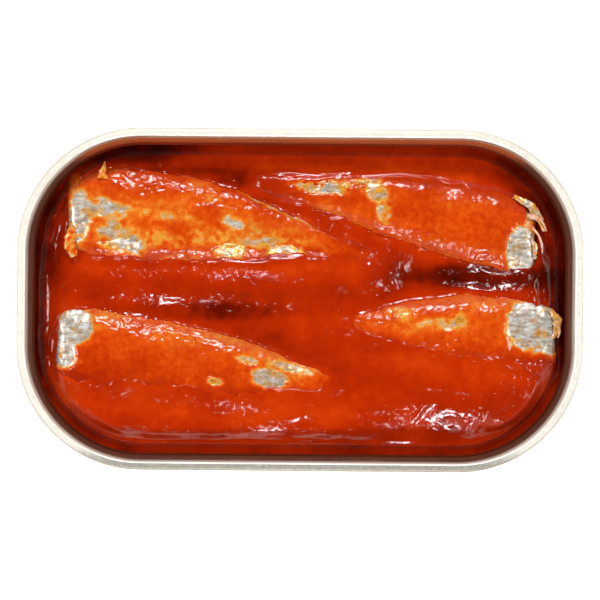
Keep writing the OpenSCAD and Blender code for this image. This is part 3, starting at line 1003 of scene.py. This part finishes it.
def seam_tinplate():
    material, tree = new_material("lacquered_seam")
    place = add(tree, "TexCoord").outputs["Object"]
    marks = add(tree, "TexNoise", inputs={"Vector": place, "Scale": 1 / (0.9 * MM), "Detail": 5.0,
        "Roughness": 0.7})
    flat = add(tree, "VectorMath", {"operation": "ABSOLUTE"}, {0: place})
    past = add(tree, "VectorMath", {"operation": "SUBTRACT"}, {
        0: flat.outputs[0], 1: (RIM[1].x - OUTER_CORNER, RIM[1].y - OUTER_CORNER, 1.0)})
    corner = add(tree, "VectorMath", {"operation": "MAXIMUM"}, {0: past.outputs[0], 1: (0, 0, 0)})
    reach = add(tree, "VectorMath", {"operation": "LENGTH"}, {0: corner.outputs[0]})
    inset = add(tree, "Math", {"operation": "SUBTRACT"}, {0: OUTER_CORNER, 1: reach.outputs["Value"]})
    inner = add(tree, "MapRange", {"interpolation_type": "SMOOTHSTEP"}, {
        "Value": inset.outputs[0], "From Min": BAND[0], "From Max": BAND[1]})
    depth = add(tree, "SeparateXYZ", inputs={"Vector": place})
    low = add(tree, "MapRange", {}, {
        "Value": depth.outputs["Z"], "From Min": 25.0 * MM, "From Max": LIP})
    front = add(tree, "MapRange", {"interpolation_type": "SMOOTHSTEP"}, {
        "Value": depth.outputs["Y"], "From Min": -28.0 * MM, "From Max": -32.0 * MM})
    satin = add(tree, "ValToRGB", {"stops": [(0.25, "e6dfcf"), (0.5, "f2ede1"), (0.8, "fcf9f1")]},
        {"Fac": marks.outputs["Fac"]}).outputs["Color"]
    # Painted shade: a dark reflection on the front of the seam's top, grey with rub marks.
    rubbed_and_shaded = add(tree, "ValToRGB", {"stops": [(0.25, "8f8b84"), (0.5, "aaa59c"), (0.8, "c9c5bb")]},
        {"Fac": marks.outputs["Fac"]}).outputs["Color"]
    outside = add(tree, "MapRange", {"interpolation_type": "SMOOTHSTEP"}, {
        "Value": inset.outputs[0], "From Min": 1.55 * MM, "From Max": 1.3 * MM})
    worn_and_shaded = add(tree, "Math", {"operation": "MULTIPLY"},
        {0: front.outputs["Result"], 1: outside.outputs["Result"]})
    top = add(tree, "Mix", {"data_type": "RGBA"}, {0: worn_and_shaded.outputs[0], 6: satin, 7: rubbed_and_shaded})
    # Painted shade where the seam rolls over at its outer edge.
    rolled_edge_shade = add(tree, "MapRange", {"interpolation_type": "SMOOTHSTEP"}, {
        "Value": inset.outputs[0], "From Min": 0.75 * MM, "From Max": 0.0, "To Max": 0.9})
    top = add(tree, "Mix", {"data_type": "RGBA"}, {0: rolled_edge_shade.outputs["Result"], 6: top.outputs[2],
        7: linear("a89c84")})
    # Inner wall: pale at the top, then painted shade and a painted reflection of the sauce, dark grey to
    # brown, and red-brown where the lip is wet.
    wall_shade_and_wet = add(tree, "ValToRGB", {"stops": [
        (0.0, "fffaf0"), (0.56, "f8f0e2"), (0.70, "8a7a6e"), (0.84, "5c3828"), (1.0, "5a2008")]},
            {"Fac": low.outputs["Result"]}).outputs["Color"]
    # At the back the inner wall is painted lighter, tan, as if lit, with a painted dark line of shade under
    # its top.
    back = add(tree, "MapRange", {"interpolation_type": "SMOOTHSTEP"}, {
        "Value": depth.outputs["Y"], "From Min": 26.0 * MM, "From Max": 29.0 * MM})
    lit_back_wall = add(tree, "ValToRGB", {"stops": [
        (0.0, "c8c2b6"), (0.22, "6a645a"), (0.52, "7a6452"), (0.72, "b87242"), (0.90, "a85420"),
            (1.0, "8c2c08")]}, {"Fac": low.outputs["Result"]}).outputs["Color"]
    inside = add(tree, "Mix", {"data_type": "RGBA"}, {0: back.outputs["Result"], 6: wall_shade_and_wet, 7: lit_back_wall})
    colour = add(tree, "Mix", {"data_type": "RGBA"},
        {0: inner.outputs["Result"], 6: top.outputs[2], 7: inside.outputs[2]})
    metal = add(tree, "MapRange", {}, {"Value": low.outputs["Result"], "To Min": 0.2, "To Max": 0.5})
    rough = add(tree, "MapRange", {}, {"Value": marks.outputs["Fac"], "To Min": 0.30, "To Max": 0.44})
    bump = add(tree, "Bump", inputs={"Height": marks.outputs["Fac"], "Strength": 0.12,
        "Distance": 0.05 * MM})
    surface = add(tree, "BsdfPrincipled", inputs={
        "Base Color": colour.outputs[2], "Metallic": metal.outputs["Result"],
            "Roughness": rough.outputs["Result"],
        "Normal": bump.outputs["Normal"]})
    add(tree, "OutputMaterial", inputs={"Surface": surface.outputs["BSDF"]})
    return material


# %% [markdown]
# Bone and threads of skin are wet, pale and slightly see-through, so they get a creamy
# pink with a little light let in below the surface.

# %% Bone and sinew
def bone():
    material, tree = new_material("wet_bone")
    place = add(tree, "TexCoord").outputs["Object"]
    cloud = add(tree, "TexNoise", inputs={"Vector": place, "Scale": 1 / (0.6 * MM), "Detail": 4.0})
    colour = add(tree, "ValToRGB", {"stops": [(0.3, "c8825c"), (0.5, "e2b49a"), (0.75, "f3dccb")]},
        {"Fac": cloud.outputs["Fac"]}).outputs["Color"]
    bump = add(tree, "Bump", inputs={"Height": cloud.outputs["Fac"], "Strength": 0.4,
        "Distance": 0.08 * MM})
    surface = add(tree, "BsdfPrincipled", inputs={
        "Base Color": colour, "Roughness": 0.25, "IOR": 1.45, "Normal": bump.outputs["Normal"],
        "Subsurface Weight": 0.2, "Subsurface Radius": (0.6 * MM, 0.3 * MM, 0.2 * MM),
            "Subsurface Scale": 1.0})
    add(tree, "OutputMaterial", inputs={"Surface": surface.outputs["BSDF"]})
    return material


# %% [markdown]
# Each piece now gets its finish and the body it rides on. A finer mesh also hides the
# plain CAD solid it stands for.

# %% Put the finishes on
def dress(piece, material, slot_name, *nodes):
    """Gives a new piece its finish and ties it to the frame."""
    piece.data.materials.clear()
    piece.data.materials.append(material)
    pick(piece)
    bpy.ops.object.shade_smooth()
    if nodes:
        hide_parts(*nodes)
    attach(piece, ROOT)


dress(sauce, tomato_sauce(), "tomato_sauce", "sauce")
for node, flesh in fish.items():
    side = node.replace("sardine_", "")
    skin = sardine_skin("silver_skin_" + side)
    dress(flesh, skin, "sardine_skin_" + side, node)
    for piece in shreds:
        if side in piece.name:
            dress(piece, skin, "sardine_skin_" + side)
wet_bone = bone()
for piece in threads:
    dress(piece, wet_bone, None)
for node, material in (("tin_body", tinplate()), ("lid_ring", seam_tinplate())):
    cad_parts[node].data.materials.clear()
    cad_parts[node].data.materials.append(material)

# %% [markdown]
# ## Studio
# The tin stands on a plain white table under soft light. Glossy sauce mirrors whatever
# is above it, so the sky straight above is kept dark and the soft lights stand round
# the table: flat sauce stays deep in colour, and every slope catches one of them.

# %% Table, lights and sky
def white_table():
    bpy.ops.object.select_all(action="DESELECT")
    bpy.ops.mesh.primitive_plane_add(size=3.0, location=(0, 0, 0))
    table = bpy.context.object
    table.name = "table"
    material, tree = new_material("white_table")
    surface = add(tree, "BsdfPrincipled", inputs={
        "Base Color": linear("fbfbfb"), "Roughness": 0.9, "Emission Color": linear("ffffff"),
        "Emission Strength": 0.7})
    add(tree, "OutputMaterial", inputs={"Surface": surface.outputs["BSDF"]})
    table.data.materials.append(material)


def softbox(name, azimuth, polar, distance, width, height, power):
    """A rectangular area light that looks at the tin from a direction in degrees."""
    around, down = math.radians(azimuth), math.radians(polar)
    way = Vector((math.sin(down) * math.cos(around), math.sin(down) * math.sin(around), math.cos(down)))
    light = bpy.data.lights.new(name, "AREA")
    light.shape = "RECTANGLE"
    light.size, light.size_y, light.energy = width, height, power
    box = bpy.data.objects.new(name, light)
    box.location = way * distance
    box.rotation_euler = way.to_track_quat("Z", "Y").to_euler()
    bpy.context.scene.collection.objects.link(box)


white_table()
softbox("light_back", 90, 47, 0.9, 0.30, 0.07, 4.5)
softbox("light_front", -90, 48, 0.9, 0.26, 0.09, 3.4)
softbox("light_left", 180, 48, 0.9, 0.34, 0.20, 3.2)
softbox("light_right", 0, 50, 0.9, 0.34, 0.20, 2.8)

sky = bpy.data.worlds.new("studio_sky")
bpy.context.scene.world = sky
sky.use_nodes = True
sky.node_tree.nodes.clear()
way = add(sky.node_tree, "TexCoord").outputs["Generated"]
upward = add(sky.node_tree, "SeparateXYZ", inputs={"Vector": way}).outputs["Z"]
# grey tone of the sky at each height, from straight below (-1) to straight above (1)
SKY = [(-1.0, "4c4c4c"), (-0.45, "8c8c8c"), (-0.05, "ececec"), (0.0, "f4f4f4"), (0.30, "dcdcdc"),
       (0.50, "868686"), (0.78, "2e2e2e"), (1.0, "1c1c1c")]
halved = add(sky.node_tree, "Math", {"operation": "MULTIPLY_ADD"}, {0: upward, 1: 0.5, 2: 0.5})
shade = add(sky.node_tree, "ValToRGB", {"stops": [(0.5 + height / 2, tone) for height, tone in SKY]},
    {"Fac": halved.outputs[0]}).outputs["Color"]
glowing = add(sky.node_tree, "Background", inputs={"Color": shade, "Strength": 0.92})
add(sky.node_tree, "OutputWorld", inputs={"Surface": glowing.outputs["Background"]})
bpy.context.scene.view_settings.view_transform = "Standard"

# %% [markdown]
# The camera looks straight down from a third of a metre above the rim with a long lens,
# turned by half a degree. The tin fills nearly all of its width.

# %% Camera
LENS = 100.0
SENSOR = 36.0
TIN_SHARE = 0.9467   # share of the picture's width that the tin fills
TURN = 0.5           # in degrees
FRAME_WIDTH = (RIM[1].x - RIM[0].x) / TIN_SHARE
camera_data = bpy.data.cameras.new("camera")
camera_data.lens, camera_data.sensor_width = LENS, SENSOR
camera = bpy.data.objects.new("camera", camera_data)
camera.location = (0, 0, RIM[1].z + FRAME_WIDTH * LENS / SENSOR)
camera.rotation_euler = (0, 0, math.radians(TURN))
bpy.context.scene.collection.objects.link(camera)
bpy.context.scene.camera = camera
